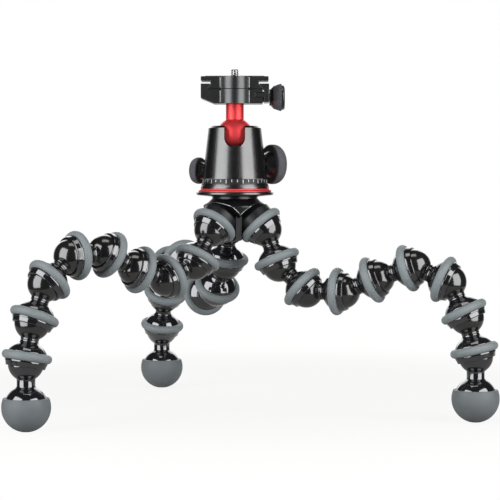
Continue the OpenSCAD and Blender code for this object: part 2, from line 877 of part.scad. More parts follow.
module clamp_bolt() {
    color(steel) on_head() difference() {
        revolve() {
            band_2d(0, bolt_head_r, bolt_head_z + seat, bolt_head_z + bolt_head_h);
            band_2d(0, bolt_r, clamp_z - bolt_in, bolt_head_z + past);
        }
        translate([0, 0, bolt_head_z + bolt_head_h / 2])
            cylinder(r = bolt_r, h = bolt_head_h, $fn = 6);
    }
}

module moving_jaw() {
    color(satin) on_head() difference() {
        union() {
            across(clamp_depth) polygon(concat(
                [[jaw_inner, clamp_z + past],
                 [jaw_face, clamp_z + past],
                 [jaw_face, jaw_top]],
                [jaw_flank[3], jaw_flank[2], [jaw_inner, plate_z + foot_half - jaw_inner + plate_gap]]
            ));
            for (side = [-1, 1])
                translate([body_right - tongue_len,
                           side * (clamp_depth - tongue_w) / 2 - tongue_w / 2, tongue_z])
                    cube([tongue_len + jaw_room + past, tongue_w, tongue_h]);
            translate([body_right - guide_len, -guide_w / 2, guide_z])
                cube([guide_len + jaw_room + past, guide_w, guide_h]);
        }
        translate([body_right - guide_len - past, 0, knob_axis_z]) rotate([0, 90, 0])
            cylinder(r = clamp_screw_r + shaft_gap, h = clamp_half);
    }
}

knob_start = jaw_face + turn_gap;
knob_cone = knob_start + knob_neck_len;
knob_end = knob_cone + knob_cone_len;
knob_core_r = knob_wide_dia * 0.38;

module clamp_screw() {
    color(steel) on_head() translate([body_right - clamp_screw_in, 0, knob_axis_z])
        rotate([0, 90, 0])
            cylinder(r = clamp_screw_r, h = knob_cone + knob_cone_len / 2 - body_right + clamp_screw_in);
}

module clamp_knob() {
    color(black) on_head() on_knob(0, knob_axis_z) revolve() difference() {
        polygon([
            [0, knob_start],
            [knob_neck_dia / 2, knob_start],
            [knob_neck_dia / 2, knob_start + knob_neck_len / 3],
            [knob_core_r + knob_rubber / 3, knob_cone - seat],
            [knob_core_r, knob_cone - seat],
            [knob_core_r, knob_end],
            [0, knob_end]
        ]);
        band_2d(0, clamp_screw_r + seat, knob_start - past, knob_cone + knob_cone_len / 2 + seat);
    }
}

module clamp_knob_grip() {
    color(knob_grey) on_head() on_knob(0, knob_axis_z) revolve() polygon([
        [knob_core_r + seat, knob_cone],
        [knob_core_r + knob_rubber / 3, knob_cone],
        [knob_wide_dia / 2, knob_end - knob_cone_len * 0.12],
        [knob_wide_dia / 2 - knob_cone_len * 0.03, knob_end],
        [knob_core_r + seat, knob_end]
    ]);
}

module clamp_knob_cap() {
    r = knob_wide_dia / 2;
    color(black) on_head() on_knob(0, knob_axis_z) revolve() polygon([
        [0, knob_end + seat],
        [r * 0.92, knob_end + seat],
        [r * 0.9, knob_end + knob_cap_h * 0.7],
        [r * 0.8, knob_end + knob_cap_h],
        [0, knob_end + knob_cap_h]
    ]);
}

module quick_release_plate() {
    color(satin) on_head() difference() {
        union() {
            across(clamp_depth) polygon(concat(
                [for (p = [[foot_half, plate_z],
                           [waist_half, plate_z + flank_h],
                           [waist_half, wing_bottom],
                           [clamp_half, wing_bottom],
                           [clamp_half, plate_top - wing_bevel],
                           [clamp_half - wing_bevel, plate_top]]) p],
                [for (p = [[clamp_half - wing_bevel, plate_top],
                           [clamp_half, plate_top - wing_bevel],
                           [clamp_half, wing_bottom],
                           [waist_half, wing_bottom],
                           [waist_half, plate_z + flank_h],
                           [foot_half, plate_z]]) [-p[0], p[1]]]
            ));
            bosses(plate_z, plate_top);
        }
        translate([0, 0, plate_z - past])
            cylinder(r = screw_head_r + turn_gap, h = screw_head_z + screw_head_h + turn_gap - plate_z + past);
        translate([0, 0, plate_z]) cylinder(r = camera_screw_r + turn_gap, h = pad_top);
        translate([0, 0, pad_top - pad_h - seat]) linear_extrude(pad_h) pad_2d(seat);
    }
}

module pad_2d(grow) {
    w = pad_w + 2 * grow;
    d = pad_d + 2 * grow;
    difference() {
        union() {
            square([w - 2 * pad_r, d], center = true);
            square([w, d - 2 * pad_r], center = true);
            for (x = [-1, 1], y = [-1, 1])
                translate([x * (w / 2 - pad_r), y * (d / 2 - pad_r)]) circle(pad_r);
        }
        circle(screw_head_r - 2 - grow);
    }
}

module plate_pad() {
    color(pad_black) on_head()
        translate([0, 0, pad_top - pad_h]) linear_extrude(pad_h) pad_2d(0);
}

module camera_screw() {
    color(steel) on_head() difference() {
        revolve() polygon([
            [0, screw_head_z],
            [screw_head_r, screw_head_z],
            [screw_head_r, screw_head_z + screw_head_h],
            [shank_dia / 2, screw_head_z + screw_head_h],
            [shank_dia / 2, thread_z],
            [camera_screw_r, thread_z],
            [camera_screw_r, screw_top - thread_bevel],
            [camera_screw_r - thread_bevel, screw_top],
            [0, screw_top]
        ]);
        translate([-screw_head_r - past, -coin_slot_w / 2, screw_head_z - past])
            cube([2 * (screw_head_r + past), coin_slot_w, screw_head_h / 2 + past]);
    }
}

hub_body();
hub_grip_rings();
head_mount_stud();
base_disc();
accent_ring();
pan_base();
pan_retainer();
bearing_plate();
head_housing();
ball_seat();
lock_shaft();
lock_knob();
lock_knob_grip();
pan_shaft();
pan_knob();
pan_knob_grip();
tilt_ball();
head_stem();
clamp_body();
clamp_bolt();
moving_jaw();
clamp_screw();
clamp_knob();
clamp_knob_grip();
clamp_knob_cap();
quick_release_plate();
plate_pad();
camera_screw();
for (leg = [0:2]) {
    for (k = SEGMENTS)
        leg_segment(leg, k);
    foot_stem(leg);
    foot_pad(leg);
}
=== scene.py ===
import json
import math

import bmesh
import bpy
from mathutils import Matrix, Vector


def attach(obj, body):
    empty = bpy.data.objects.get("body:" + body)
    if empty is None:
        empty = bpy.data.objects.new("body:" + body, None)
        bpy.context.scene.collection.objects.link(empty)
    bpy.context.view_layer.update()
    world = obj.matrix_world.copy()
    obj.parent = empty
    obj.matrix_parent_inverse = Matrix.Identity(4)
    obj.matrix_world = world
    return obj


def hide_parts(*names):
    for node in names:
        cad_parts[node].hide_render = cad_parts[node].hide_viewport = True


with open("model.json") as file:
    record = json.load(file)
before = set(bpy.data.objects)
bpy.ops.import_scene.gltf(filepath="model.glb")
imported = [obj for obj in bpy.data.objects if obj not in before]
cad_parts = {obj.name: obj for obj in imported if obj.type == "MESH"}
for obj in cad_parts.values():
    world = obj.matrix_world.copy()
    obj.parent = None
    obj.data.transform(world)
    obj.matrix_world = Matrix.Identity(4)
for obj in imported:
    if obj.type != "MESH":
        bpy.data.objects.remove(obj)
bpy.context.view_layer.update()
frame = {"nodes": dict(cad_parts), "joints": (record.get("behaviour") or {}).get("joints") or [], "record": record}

# Sizes of the legs and of the hub in millimetres, the same as the solids'
PITCH = 30.0
BALL_R = 13.3
NECK_R = 6.8
NECK_BREAK = 0.45
STUD_END = 13.2
CUP_START = 13.3
DOME_FOOT_R = NECK_R + 1.3
SOCKET_R = 13.45
DOME_R = 16.45
RING_R = 3.3
RING_OUT = 18.5
RING_BACK = 4.8
SEAT_R = 14.318
COLLAR_R = 15.75
COLLAR_BACK = 1.45
LIP_REACH = 3.2
LIP_R = 14.5
LIP_BORE_R = 13.14
FOOT_R = 18.2
FOOT_CORE_R = 16.4
FOOT_REACH = 32.4
FOOT_RIM = 6.8
SOLE = 0.45
GLUE_GAP = 0.05
SOCKET_SLOPE = 47.0
SOCKETS = {"right": -18.0, "left": 222.0, "rear": 102.0}
APRON_BACK = 18.0
DRUM_FOOT_R = 10.882
SEGMENTS = 8

JOINTS = {j["name"]: j for j in frame["joints"]}
NODES = frame["nodes"]
BODIES = frame["record"]["behaviour"]["bodies"]
BODY_OF = {node: body for body, members in BODIES.items() for node in members}


def joint_at(name):
    """A joint's place in millimetres."""
    return Vector(JOINTS[name]["pos_m"]) * 1000


def socket_axis(leg):
    """The centre of a leg's socket in the hub, and the way that the socket opens."""
    slope, heading = math.radians(SOCKET_SLOPE), math.radians(SOCKETS[leg])
    flat = math.cos(slope)
    out = Vector((flat * math.cos(heading), flat * math.sin(heading), -math.sin(slope)))
    return joint_at(f"{leg}_leg_joint_1"), out


# The head's axis, the ball's height above the base disc, and the height of the disc's underside
AXIS = joint_at("ball_tilt")
BALL_Z = 47.7
STAND = AXIS.z - BALL_Z


# Mesh helpers

def linked(name, data):
    """A new object with this data, in the scene."""
    made = bpy.data.objects.new(name, data)
    bpy.context.scene.collection.objects.link(made)
    return made


def mesh_object(name, verts, faces, sharp=38.0):
    """A smooth-shaded object in metres from points in millimetres, sharp at angles past a limit."""
    mesh = bpy.data.meshes.new(name)
    mesh.from_pydata([(x / 1000, y / 1000, z / 1000) for x, y, z in verts], [], faces)
    bm = bmesh.new()
    bm.from_mesh(mesh)
    bmesh.ops.recalc_face_normals(bm, faces=bm.faces)
    bm.to_mesh(mesh)
    bm.free()
    mesh.polygons.foreach_set("use_smooth", [True] * len(mesh.polygons))
    mesh.set_sharp_from_angle(angle=math.radians(sharp))
    return linked(name, mesh)


def rounded(points, steps=4):
    """A profile from (radius, height, fillet) corners, with an arc at every corner that has a fillet."""
    made = []
    for i, (r, z, fillet) in enumerate(points):
        here = Vector((r, z))
        if fillet <= 0 or i in (0, len(points) - 1):
            made.append(here)
            continue
        back = Vector(points[i - 1][:2]) - here
        ahead = Vector(points[i + 1][:2]) - here
        cut = min(fillet, back.length * 0.48, ahead.length * 0.48)
        start = here + back.normalized() * cut
        end = here + ahead.normalized() * cut
        for s in range(steps + 1):
            t = s / steps
            made.append(start * (1 - t) ** 2 + here * 2 * t * (1 - t) + end * t ** 2)
    return [(p.x, p.y) for p in made]


def arc(centre_r, centre_z, radius, a0, a1, steps):
    """Points of an arc in a profile, from angle a0 to a1, measured from the outward direction."""
    made = []
    for s in range(steps + 1):
        a = math.radians(a0 + (a1 - a0) * s / steps)
        made.append((centre_r + radius * math.cos(a), centre_z + radius * math.sin(a)))
    return made


def lathe_data(profile, steps=72, closed=False, ripple=None):
    """Points and faces of a profile turned round +Z; ripple(radius, height, angle) may change it."""
    verts, rings, faces = [], [], []
    for r, z in profile:
        if r < 1e-6:
            rings.append([len(verts)] * steps)
            verts.append((0.0, 0.0, z))
            continue
        ring = []
        for s in range(steps):
            a = 2 * math.pi * s / steps
            rr = ripple(r, z, a) if ripple else r
            ring.append(len(verts))
            verts.append((rr * math.cos(a), rr * math.sin(a), z))
        rings.append(ring)
    pairs = list(zip(rings, rings[1:])) + ([(rings[-1], rings[0])] if closed else [])
    for low, high in pairs:
        for s in range(steps):
            n = (s + 1) % steps
            loop = [low[s], low[n], high[n], high[s]]
            loop = [v for i, v in enumerate(loop) if v != loop[i - 1]]
            if len(loop) > 2:
                faces.append(loop)
    return verts, faces


def joined(*parts):
    """Several (points, faces) as one."""
    verts, faces = [], []
    for v, f in parts:
        base = len(verts)
        verts.extend(v)
        faces.extend([[i + base for i in face] for face in f])
    return verts, faces


def lathe(name, profile, steps=72, closed=False, ripple=None, sharp=38.0):
    return mesh_object(name, *lathe_data(profile, steps, closed, ripple), sharp=sharp)


def copy_of(obj, name):
    """Another object with the same mesh."""
    return linked(name, obj.data)


def stand_on(obj, at, direction, side):
    """Puts an object at a point in millimetres with its +Z along direction and its +X toward side."""
    z = Vector(direction).normalized()
    y = z.cross(Vector(side)).normalized()
    x = y.cross(z)
    turn = Matrix((x, y, z)).transposed().to_4x4()
    obj.matrix_world = Matrix.Translation(Vector(at) / 1000) @ turn
    return obj


def wear(obj, material, slot, body, *nodes):
    """Dresses a piece, ties it to its body and hides the solids that it stands for."""
    obj.data.materials.clear()
    obj.data.materials.append(material)
    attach(obj, body)
    if nodes:
        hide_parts(*nodes)
    return obj


# Materials

def shader(name, **sockets):
    """A material with one surface shader, whose constants are set on its own sockets."""
    material = bpy.data.materials.new(name)
    material.use_nodes = True
    tree = material.node_tree
    surface = tree.nodes["Principled BSDF"]
    for key, value in sockets.items():
        surface.inputs[key.replace("_", " ")].default_value = value
    return material, tree, surface


def node(tree, kind, **values):
    """A node whose sockets and settings are given by name."""
    made = tree.nodes.new(kind)
    for key, value in values.items():
        if key in made.inputs:
            made.inputs[key].default_value = value
        else:
            setattr(made, key, value)
    return made


def coordinates(tree, scale=(1, 1, 1)):
    """Object coordinates in metres, stretched by scale."""
    place = node(tree, "ShaderNodeTexCoord")
    mapping = node(tree, "ShaderNodeMapping", Scale=scale)
    tree.links.new(place.outputs["Object"], mapping.inputs["Vector"])
    return mapping.outputs["Vector"]


def noise(tree, where, scale, detail=3.0, roughness=0.55):
    made = node(tree, "ShaderNodeTexNoise", Scale=scale, Detail=detail, Roughness=roughness)
    tree.links.new(where, made.inputs["Vector"])
    return made.outputs["Fac"]


def ramp(tree, value, dark, light, low=0.3, high=0.7):
    made = node(tree, "ShaderNodeValToRGB")
    made.color_ramp.elements[0].position = low
    made.color_ramp.elements[0].color = (*dark, 1)
    made.color_ramp.elements[1].position = high
    made.color_ramp.elements[1].color = (*light, 1)
    tree.links.new(value, made.inputs["Fac"])
    return made.outputs["Color"]


def remapped(tree, value, given, wanted, way="LINEAR"):
    """A value moved from a given range to the wanted one."""
    made = node(tree, "ShaderNodeMapRange", interpolation_type=way)
    made.inputs["From Min"].default_value, made.inputs["From Max"].default_value = given
    made.inputs["To Min"].default_value, made.inputs["To Max"].default_value = wanted
    tree.links.new(value, made.inputs["Value"])
    return made.outputs["Result"]


def bump(tree, surface, height, strength, distance):
    made = node(tree, "ShaderNodeBump", Strength=strength, Distance=distance)
    tree.links.new(height, made.inputs["Height"])
    tree.links.new(made.outputs["Normal"], surface.inputs["Normal"])


def finish_coat(name, dark, light, rough, grain, grain_bump, mottle=60.0, stretch=(1, 1, 1), **sockets):
    """A finish: a mottled colour, a roughness that wanders, and a fine grain in its relief."""
    material, tree, surface = shader(name, **sockets)
    where = coordinates(tree)
    lines = coordinates(tree, stretch)
    colour = ramp(tree, noise(tree, where, mottle), dark, light)
    tree.links.new(colour, surface.inputs["Base Color"])
    roughness = remapped(tree, noise(tree, where, mottle * 2.3), (0.25, 0.75), rough)
    tree.links.new(roughness, surface.inputs["Roughness"])
    bump(tree, surface, noise(tree, lines, grain), *grain_bump)
    return material


def tint(colour, k):
    """A colour made lighter or darker by a factor."""
    return tuple(c * k for c in colour)


GLOSS = (0.0060, 0.0060, 0.0072)
BALL = (0.0075, 0.0072, 0.0065)
RING_GREY = (0.163, 0.183, 0.187)
FOOT_GREY = (0.115, 0.128, 0.132)
KNOB_GREY = (0.071, 0.068, 0.075)
SATIN = (0.107, 0.107, 0.105)
CLAMP = (0.083, 0.084, 0.083)
RED = (0.80, 0.056, 0.062)

# How far the grain of brushed and of turned metal is drawn out along each axis
BRUSHED_GRAIN = (0.15, 0.15, 12)
TURNED_GRAIN = (0.2, 0.2, 10)

gloss_black = finish_coat("gloss_black", tint(GLOSS, 0.8), tint(GLOSS, 1.2), (0.07, 0.11), 900.0,
                          (0.02, 0.00004), IOR=2.08)
ball_black = finish_coat("ball_black", tint(BALL, 0.8), tint(BALL, 1.2), (0.12, 0.16), 900.0,
                         (0.02, 0.00004), IOR=1.88)
hub_black = finish_coat("hub_black", tint(GLOSS, 0.8), tint(GLOSS, 1.2), (0.28, 0.34), 1200.0,
                        (0.03, 0.00004), IOR=1.5)
ring_rubber = finish_coat("ring_rubber", tint(RING_GREY, 0.88), tint(RING_GREY, 1.1), (0.5, 0.66), 2200.0,
                          (0.1, 0.00004), IOR=1.4)
foot_rubber = finish_coat("foot_rubber", tint(FOOT_GREY, 0.9), tint(FOOT_GREY, 1.1), (0.5, 0.64), 2000.0,
                          (0.1, 0.00004), IOR=1.4)
knob_rubber = finish_coat("knob_rubber", tint(KNOB_GREY, 0.85), tint(KNOB_GREY, 1.12), (0.5, 0.66), 2400.0,
                          (0.2, 0.00005), IOR=1.4)
pad_rubber = finish_coat("pad_rubber", (0.008, 0.008, 0.009), (0.013, 0.013, 0.014), (0.6, 0.75), 2600.0,
                         (0.3, 0.00008), IOR=1.4)
satin_black = finish_coat("satin_black", tint(SATIN, 0.94), tint(SATIN, 1.06), (0.24, 0.27), 500.0,
                          (0.03, 0.00002), stretch=BRUSHED_GRAIN, Metallic=1.0)
clamp_black = finish_coat("clamp_black", tint(CLAMP, 0.94), tint(CLAMP, 1.06), (0.33, 0.37), 500.0,
                          (0.03, 0.00002), stretch=BRUSHED_GRAIN, Metallic=1.0)
red_anodised = finish_coat("red_anodised", tint(RED, 0.94), tint(RED, 1.04), (0.44, 0.50), 420.0,
                           (0.03, 0.00002), stretch=BRUSHED_GRAIN, Metallic=0.75, IOR=1.68)
knob_black = finish_coat("knob_black", (0.008, 0.008, 0.009), (0.012, 0.012, 0.013), (0.24, 0.30), 1500.0,
                         (0.05, 0.00003), IOR=1.68)
dull_black = finish_coat("dull_black", (0.007, 0.007, 0.008), (0.010, 0.010, 0.011), (0.38, 0.46), 1500.0,
                         (0.06, 0.00004), IOR=1.4)
# A light grey for the hub's edge fillets: a painted highlight along its edges
hub_painted_highlight = finish_coat("hub_painted_highlight", (0.113, 0.113, 0.110), (0.140, 0.140, 0.137), (0.30, 0.36), 1200.0,
                       (0.03, 0.00004), IOR=1.5)
# Lighter metal for slim beads that stand in for edge highlights: partly a real reflection of the lamps, partly a
# painted highlight
highlight_bead_metal = finish_coat("highlight_bead_metal", (0.28, 0.28, 0.274), (0.333, 0.333, 0.327), (0.26, 0.34), 500.0,
                         (0.04, 0.00003), stretch=BRUSHED_GRAIN, Metallic=1.0)
steel = finish_coat("turned_steel", (0.40, 0.396, 0.385), (0.48, 0.476, 0.465), (0.2, 0.3), 500.0,
                    (0.08, 0.00003), stretch=TURNED_GRAIN, Metallic=1.0)
brass = finish_coat("turned_brass", (0.5, 0.36, 0.13), (0.58, 0.43, 0.18), (0.25, 0.35), 500.0,
                    (0.06, 0.00003), stretch=TURNED_GRAIN, Metallic=1.0)
nylon = finish_coat("black_nylon", (0.015, 0.015, 0.016), (0.020, 0.020, 0.021), (0.4, 0.5), 900.0,
                    (0.05, 0.00004))
marking = finish_coat("marking_white", (0.52, 0.52, 0.51), (0.62, 0.62, 0.61), (0.45, 0.6), 1800.0,
                      (0.05, 0.00002))

SLOT_MATERIAL = {
    "black_gloss": gloss_black,
    "foot_rubber": foot_rubber,
    "ring_rubber": ring_rubber,
    "knob_rubber": knob_rubber,
    "pad_rubber": pad_rubber,
    "red_anodised": red_anodised,
    "steel": steel,
    "brass": brass,
    "nylon": nylon,
    "black_plastic": knob_black,
    "black_anodised": satin_black,
}
for part in frame["record"]["subparts"]:
    shown = NODES[part["node"]]
    shown.data.materials.clear()
    shown.data.materials.append(SLOT_MATERIAL[part["material_slot"]])


# Legs

def stud_profile():
    """Ball and neck of a segment, its ball centre at zero and the foot side up."""
    back = -0.8 * BALL_R
    a0 = math.degrees(math.asin(back / BALL_R))
    a1 = math.degrees(math.acos(NECK_R / BALL_R)) - 4
    ball = arc(0, 0, BALL_R, a0, a1, 30)
    neck = rounded([
        (*ball[-1], 0),
        (NECK_R, 11.6, 0.8),
        (NECK_R, STUD_END - 0.15, 0.15),
        (NECK_R - NECK_BREAK, STUD_END, 0),
    ])
    return [(0, back)] + ball + neck[1:] + [(0, STUD_END)]


def cup_profile():
    """Neck, dome, ring seat and collar of a segment, the centre of its socket at PITCH."""
    ring_top = -RING_BACK - RING_R
    dome_start = -math.sqrt(DOME_R ** 2 - DOME_FOOT_R ** 2)
    a0 = math.degrees(math.asin(dome_start / DOME_R))
    a1 = math.degrees(math.asin(ring_top / DOME_R))
    low = CUP_START - PITCH
    neck = rounded([
        (0, low, 0),
        (NECK_R - NECK_BREAK, low, 0),
        (NECK_R, low + 0.15, 0.15),
        (NECK_R, low + 0.9, 0.6),
        (DOME_FOOT_R, dome_start, 0),
    ])
    dome = arc(0, 0, DOME_R, a0, a1, 16)
    collar = rounded([
        (SEAT_R, ring_top, 0),
        (SEAT_R, -COLLAR_BACK, 0),
        (COLLAR_R, -COLLAR_BACK, 0.3),
        (COLLAR_R, -0.3, 0.25),
        (COLLAR_R - 0.4, -0.2, 0.12),
        (LIP_R, LIP_REACH - 0.15, 0.5),
        (LIP_BORE_R, LIP_REACH, 0),
    ])
    hollow = arc(0, 0, SOCKET_R, math.degrees(math.asin(LIP_REACH / SOCKET_R)) - 0.5, -90, 18)
    hollow[-1] = (0, -SOCKET_R)
    whole = neck[:-1] + dome + collar[1:] + hollow[1:]
    return [(r, z + PITCH) for r, z in whole]


def ring_profile():
    """A grip ring's section, its socket's centre at zero."""
    mid = RING_OUT - RING_R
    edge = math.degrees(math.acos((SEAT_R + GLUE_GAP - mid) / RING_R))
    return arc(mid, -RING_BACK, RING_R, -edge, edge, 26)


def foot_profile():
    """Ball, neck and round core of a foot, the last ball centre at zero and the floor up."""
    stem = stud_profile()[:-3]
    a0 = -math.degrees(math.acos((NECK_R + 1.0) / FOOT_CORE_R))
    core = arc(0, FOOT_REACH, FOOT_CORE_R, a0, 90, 40)
    core[-1] = (0, FOOT_REACH + FOOT_CORE_R)
    neck = rounded([(NECK_R, CUP_START - 0.6, 0), (NECK_R, core[0][1] - 0.9, 0.8), (*core[0], 0)])
    return stem + neck[:-1] + core


def pad_profile():
    """The rubber cup on a foot, rim first, the foot's centre at zero and the floor up."""
    inner_r = FOOT_CORE_R + GLUE_GAP
    rim = math.degrees(math.asin(-FOOT_RIM / FOOT_R))
    inner_rim = math.degrees(math.asin(-FOOT_RIM / inner_r))
    sole_z = FOOT_R - SOLE
    sole_r = math.sqrt(FOOT_R ** 2 - sole_z ** 2)
    outer = arc(0, 0, FOOT_R, rim + 2.4, math.degrees(math.acos(sole_r / FOOT_R)), 36)
    inner = arc(0, 0, inner_r, 90, inner_rim, 30)
    inner[0] = (0, inner_r)
    rim_corner = (FOOT_R * math.cos(math.radians(rim)), -FOOT_RIM, 0.8)
    lip = rounded([(*inner[-1], 0), rim_corner, (*outer[0], 0)])
    return inner + lip[1:-1] + outer + [(0, sole_z)]


stud_shell = lathe("stud_shell", stud_profile(), 80)
cup_shell = lathe("cup_shell", cup_profile(), 80)
ring_shell = lathe("ring_shell", ring_profile(), 88, closed=True)
foot_shell = lathe("foot_shell", foot_profile(), 80)
pad_shell = lathe("pad_shell", pad_profile(), 88)
masters = [stud_shell, cup_shell, ring_shell, foot_shell, pad_shell]

for leg in SOCKETS:
    spots = [joint_at(f"{leg}_leg_joint_{k}") for k in range(1, SEGMENTS + 1)]
    spots.append(joint_at(f"{leg}_foot_joint"))
    side = Vector(JOINTS[f"{leg}_leg_joint_1"]["axis"])
    for k in range(1, SEGMENTS + 1):
        at, ahead = spots[k - 1], spots[k] - spots[k - 1]
        body, solid = f"{leg}_segment_{k}", f"{leg}_leg_segment_{k}"
        stud = stand_on(copy_of(stud_shell, f"{solid}_stud"), at, ahead, side)
        wear(stud, ball_black, "black_gloss", body, solid)
        cup = stand_on(copy_of(cup_shell, f"{solid}_cup"), at, ahead, side)
        wear(cup, gloss_black, "black_gloss", body, solid)
        ring = stand_on(copy_of(ring_shell, f"{solid}_ring"), spots[k], ahead, side)
        wear(ring, ring_rubber, "ring_rubber", body, solid)
    body = f"{leg}_foot"
    stem = stand_on(copy_of(foot_shell, f"{leg}_foot_shell"), spots[-1], (0, 0, -1), side)
    wear(stem, gloss_black, "black_gloss", body, f"{leg}_foot_stem")
    pad_at = spots[-1] - Vector((0, 0, FOOT_REACH))
    pad = stand_on(copy_of(pad_shell, f"{leg}_foot_rubber"), pad_at, (0, 0, -1), side)
    wear(pad, foot_rubber, "foot_rubber", body, f"{leg}_foot_pad")
    centre, out = socket_axis(leg)
    hub_ring = stand_on(copy_of(ring_shell, f"{leg}_hub_ring"), centre, out, side)
    wear(hub_ring, ring_rubber, "ring_rubber", "hub_and_base", "hub_grip_rings")
for master in masters:
    bpy.data.objects.remove(master)


# Machined and moulded pieces with their edges broken

def shade_flats(mesh, limit=45.0):
    """Normals that follow the large faces, so that only the fillets between them are shaded round."""
    around = [[] for _ in mesh.vertices]
    for face in mesh.polygons:
        for v in face.vertices:
            around[v].append(face)
    least = math.cos(math.radians(limit))
    normals = []
    for face in mesh.polygons:
        own = face.normal.copy()
        for v in face.vertices:
            total = own * 1e-12
            for other in around[v]:
                if other.normal.dot(own) > least:
                    total = total + other.normal * other.area
            normals.append(total.normalized())
    mesh.normals_split_custom_set(normals)


def clean_copy(solid, merge=2e-6, flat=0.4):
    """A solid's faces as an editable mesh, with flat areas made into one face."""
    bm = bmesh.new()
    bm.from_mesh(NODES[solid].data)
    bmesh.ops.remove_doubles(bm, verts=bm.verts, dist=merge)
    bmesh.ops.dissolve_limit(bm, angle_limit=math.radians(flat), verts=bm.verts, edges=bm.edges)
    return bm


def softened(name, solid, width, material, slot, painted_highlight_material=None, angle=28.0, steps=2):
    """A copy of a solid whose sharp edges are rounded by a small fillet."""
    bm = clean_copy(solid)
    sharp = [e for e in bm.edges if len(e.link_faces) == 2 and e.calc_face_angle(0) > math.radians(angle)]
    rounds = bmesh.ops.bevel(bm, geom=sharp, offset=width / 1000, offset_type="OFFSET", segments=steps,
                             profile=0.5, affect="EDGES", clamp_overlap=True, harden_normals=False)
    # The fillets can take a second material, which on the hub is a painted edge highlight
    if painted_highlight_material:
        for face in rounds["faces"]:
            face.material_index = 1
    mesh = bpy.data.meshes.new(name)
    bm.to_mesh(mesh)
    bm.free()
    mesh.polygons.foreach_set("use_smooth", [True] * len(mesh.polygons))
    shade_flats(mesh)
    obj = linked(name, mesh)
    wear(obj, material, slot, BODY_OF[solid], solid)
    if painted_highlight_material:
        mesh.materials.append(painted_highlight_material)
    return obj


# The hub's edge fillets are a lighter grey, a painted highlight; its collars shine as the legs' cups do, and its
# drums are dull
COLLAR_SLOT = 2
DRUM_SLOT = 3
COLLAR_REACH = COLLAR_R + 1
DRUM_LEAN = 0.6
hub_shell = softened("hub_shell", "hub_body", 0.6, hub_black, "black_gloss", hub_painted_highlight)
for finish in (gloss_black, dull_black):
    hub_shell.data.materials.append(finish)
for leg in SOCKETS:
    centre, out = socket_axis(leg)
    for face in hub_shell.data.polygons:
        reach = face.center * 1000 - centre
        along = reach.dot(out)
        aside = reach - out * along
        beside = aside.length < COLLAR_REACH and along > -APRON_BACK
        if reach.length < COLLAR_REACH and along > -RING_BACK:
            face.material_index = COLLAR_SLOT
        elif beside and face.normal.dot(aside.normalized()) > DRUM_LEAN:
            face.material_index = DRUM_SLOT


def tube_data(points, r, around=10):
    """Points and faces of a slim closed tube along a line of points."""
    verts, faces = [], []
    last = len(points) - 1
    side = None
    for i, point in enumerate(points):
        along = (points[min(i + 1, last)] - points[max(i - 1, 0)]).normalized()
        side = side or along.orthogonal()
        side = (side - along * side.dot(along)).normalized()
        across = along.cross(side)
        for k in range(around):
            a = 2 * math.pi * k / around
            verts.append(tuple(point + side * (r * math.cos(a)) + across * (r * math.sin(a))))
    for i in range(last):
        for k in range(around):
            n = (k + 1) % around
            faces.append([i * around + k, i * around + n, (i + 1) * around + n, (i + 1) * around + k])
    faces.append(list(range(around))[::-1])
    faces.append([last * around + k for k in range(around)])
    return verts, faces


def chains(pairs):
    """Lines of points from pairs of points that share their ends."""
    near = {}
    for a, b in pairs:
        near.setdefault(a, []).append(b)
        near.setdefault(b, []).append(a)
    lines = []
    for start in sorted(near, key=lambda p: (len(near[p]), p)):
        if not near[start]:
            continue
        line = [start]
        while near[line[-1]]:
            step = near[line[-1]].pop()
            near[step].remove(line[-1])
            line.append(step)
        lines.append([Vector(p) for p in line])
    return lines


def thinned(line, least):
    """A line of points without those nearer than least to the one before, but with both its ends."""
    kept = line[:1]
    for point in line[1:-1]:
        if (point - kept[-1]).length > least and (point - line[-1]).length > least:
            kept.append(point)
    return kept + line[-1:]


def rim_lines(solid, leg, level, inner, slack=0.03, square=0.999):
    """Lines along the outer edges of the face of a solid that is cut square to a leg's socket."""
    centre, out = socket_axis(leg)
    cuts = [socket_axis(other)[1] for other in SOCKETS]
    bm = clean_copy(solid)
    pairs = []
    for edge in bm.edges:
        ends = [v.co * 1000 - centre for v in edge.verts]
        level_ends = all(abs(e.dot(out) - level) < slack for e in ends)
        outer_ends = all((e - out * e.dot(out)).length > inner for e in ends)
        beside = [face for face in edge.link_faces if max(face.normal.dot(cut) for cut in cuts) > square]
        if level_ends and outer_ends and len(beside) == 1 and edge.is_convex:
            pairs.append(tuple(tuple(round(c, 3) for c in v.co * 1000) for v in edge.verts))
    bm.free()
    return chains(pairs)


# Slim bright metal beads along the edges of the apron, painted highlights that draw the V between the legs
LIP_BEAD_R = 0.4
beads = []
for leg in SOCKETS:
    for line in rim_lines("hub_body", leg, -APRON_BACK, DRUM_FOOT_R + 1):
        beads.append(tube_data(thinned(line, 2 * LIP_BEAD_R), LIP_BEAD_R))
wear(mesh_object("hub_highlight_beads", *joined(*beads)), highlight_bead_metal, "black_gloss", "hub_and_base")

softened("housing_shell", "head_housing", 0.6, satin_black, "black_anodised")
softened("clamp_shell", "clamp_body", 0.45, clamp_black, "black_anodised")
softened("jaw_shell", "moving_jaw", 0.25, clamp_black, "black_anodised")
softened("plate_shell", "quick_release_plate", 0.4, clamp_black, "black_anodised")


# Ball head, with heights from the underside of the base disc

